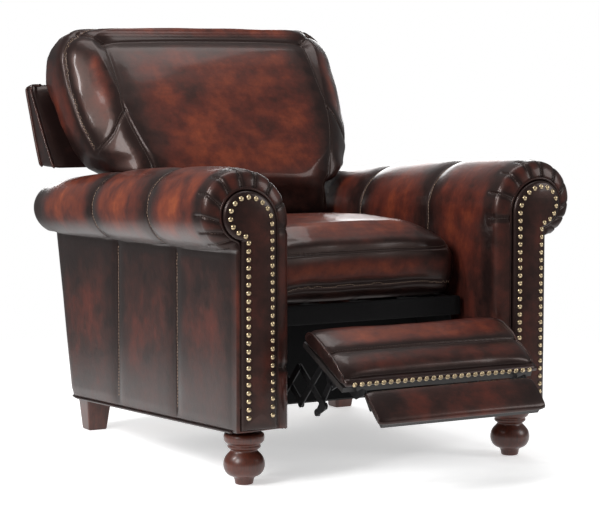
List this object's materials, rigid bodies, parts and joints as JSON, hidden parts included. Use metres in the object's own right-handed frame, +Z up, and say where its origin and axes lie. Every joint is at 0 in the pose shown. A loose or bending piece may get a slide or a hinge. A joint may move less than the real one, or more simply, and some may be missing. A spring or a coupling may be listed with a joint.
{
  "type": "recliner armchair",
  "caption": "Push-back recliner armchair in hand-rubbed leather: rolled arms with nailed fronts, pillow back, box seat cushion, turned front feet and a fold-out two-panel footrest.",
  "frame": {"origin": "on the floor, under the centre of the chair's box in its half-open rest pose", "axes": "+X to the right seen from the front, -Y the way the chair faces, +Z up"},
  "size_m": [0.9596, 1.4199, 1],
  "materials": {
    "leather": "hand-rubbed semi-gloss burgundy brown",
    "mahogany": "glossy mahogany lacquer",
    "frame_wood": "raw frame timber",
    "black_steel": "satin black",
    "brass": "antique brass",
    "spring_steel": "bare spring wire"
  },
  "bodies": {
    "root": {"arm_cover_left": "leather", "arm_cover_right": "leather", "arm_front_post_left": "frame_wood", "arm_front_post_right": "frame_wood", "arm_rear_post_left": "frame_wood", "arm_rear_post_right": "frame_wood", "arm_front_panel_left": "leather", "arm_front_panel_right": "leather", "arm_nail_trim_left": "brass", "arm_nail_trim_right": "brass", "front_foot_left": "mahogany", "front_foot_right": "mahogany", "rear_leg_left": "mahogany", "rear_leg_right": "mahogany", "base_rail_front": "frame_wood", "base_rail_rear": "frame_wood", "slide_track_left": "black_steel", "slide_track_right": "black_steel", "back_pivot_pin_left": "black_steel", "back_pivot_pin_right": "black_steel"},
    "back": {"outside_back": "leather", "back_cushion": "leather", "back_bottom_rail": "frame_wood", "back_top_rail": "frame_wood", "back_post_left": "frame_wood", "back_post_right": "frame_wood", "back_bracket_left": "black_steel", "back_bracket_right": "black_steel"},
    "seat": {"seat_cushion": "leather", "seat_rail_front": "frame_wood", "seat_rail_rear": "frame_wood", "seat_rail_left": "frame_wood", "seat_rail_right": "frame_wood", "seat_spring_1": "spring_steel", "seat_spring_2": "spring_steel", "seat_spring_3": "spring_steel", "slide_runner_left": "black_steel", "slide_runner_right": "black_steel", "side_plate_left": "black_steel", "side_plate_right": "black_steel"},
    "rear_falling_bars": {"rear_falling_bar_left": "black_steel", "rear_falling_bar_right": "black_steel"},
    "rear_rising_bars": {"rear_rising_bar_left": "black_steel", "rear_rising_bar_right": "black_steel"},
    "front_falling_bars": {"front_falling_bar_left": "black_steel", "front_falling_bar_right": "black_steel"},
    "front_rising_bars": {"front_rising_bar_left": "black_steel", "front_rising_bar_right": "black_steel"},
    "tilt_links": {"tilt_link_left": "black_steel", "tilt_link_right": "black_steel"},
    "footrest": {"footrest_board": "frame_wood", "footrest_pad": "leather", "footrest_nail_trim": "brass", "cross_tube": "black_steel", "panel_bracket_left": "black_steel", "panel_bracket_right": "black_steel"},
    "flipper": {"flipper_board": "frame_wood", "flipper_pad": "leather", "flipper_bracket_left": "black_steel", "flipper_bracket_right": "black_steel"}
  },
  "joints": [
    {"name": "back_recline", "type": "hinge", "parent": "root", "child": "back", "pos_m": [0, 0.41495, 0.5], "axis": [-1, 0, 0], "range_deg": [-14, 14]},
    {"name": "seat_slide", "type": "slide", "parent": "root", "child": "seat", "axis": [0, -0.9903, 0.1392], "range_m": [-0.0172, 0.0172]},
    {"name": "footrest_open", "type": "hinge", "parent": "seat", "child": "rear_falling_bars", "pos_m": [0, -0.28905, 0.243], "axis": [-1, 0, 0], "range_deg": [-42, 18]},
    {"name": "rear_cross_pivot", "type": "hinge", "parent": "rear_falling_bars", "child": "rear_rising_bars", "pos_m": [0, -0.34074, 0.20681], "axis": [-1, 0, 0], "range_deg": [-36, 84]},
    {"name": "upper_pivot", "type": "hinge", "parent": "rear_rising_bars", "child": "front_falling_bars", "pos_m": [0, -0.38536, 0.25143], "axis": [-1, 0, 0], "range_deg": [-84, 36]},
    {"name": "lower_pivot", "type": "hinge", "parent": "rear_falling_bars", "child": "front_rising_bars", "pos_m": [0, -0.39243, 0.17061], "axis": [-1, 0, 0], "range_deg": [-36, 84]},
    {"name": "panel_hinge", "type": "hinge", "parent": "front_rising_bars", "child": "footrest", "pos_m": [0, -0.48166, 0.25985], "axis": [-1, 0, 0], "range_deg": [-107.2, 46]},
    {"name": "tilt_link_pivot", "type": "hinge", "parent": "front_falling_bars", "child": "tilt_links", "pos_m": [0, -0.44875, 0.15821], "axis": [-1, 0, 0], "range_deg": [-30.8, 71.7]},
    {"name": "flipper_hinge", "type": "hinge", "parent": "footrest", "child": "flipper", "pos_m": [0, -0.6324, 0.22818], "axis": [-1, 0, 0], "range_deg": [-52.2, 22.4]}
  ],
  "couplings": [
    {"joint": "seat_slide", "follows": "back_recline", "m_per_rad": 0.07},
    {"joint": "rear_cross_pivot", "follows": "footrest_open", "ratio": -2},
    {"joint": "upper_pivot", "follows": "footrest_open", "ratio": 2},
    {"joint": "lower_pivot", "follows": "footrest_open", "ratio": -2},
    {"joint": "panel_hinge", "follows": "footrest_open", "ratio": 2.55},
    {"joint": "tilt_link_pivot", "follows": "footrest_open", "ratio": -1.704},
    {"joint": "flipper_hinge", "follows": "footrest_open", "ratio": 1.24}
  ]
}
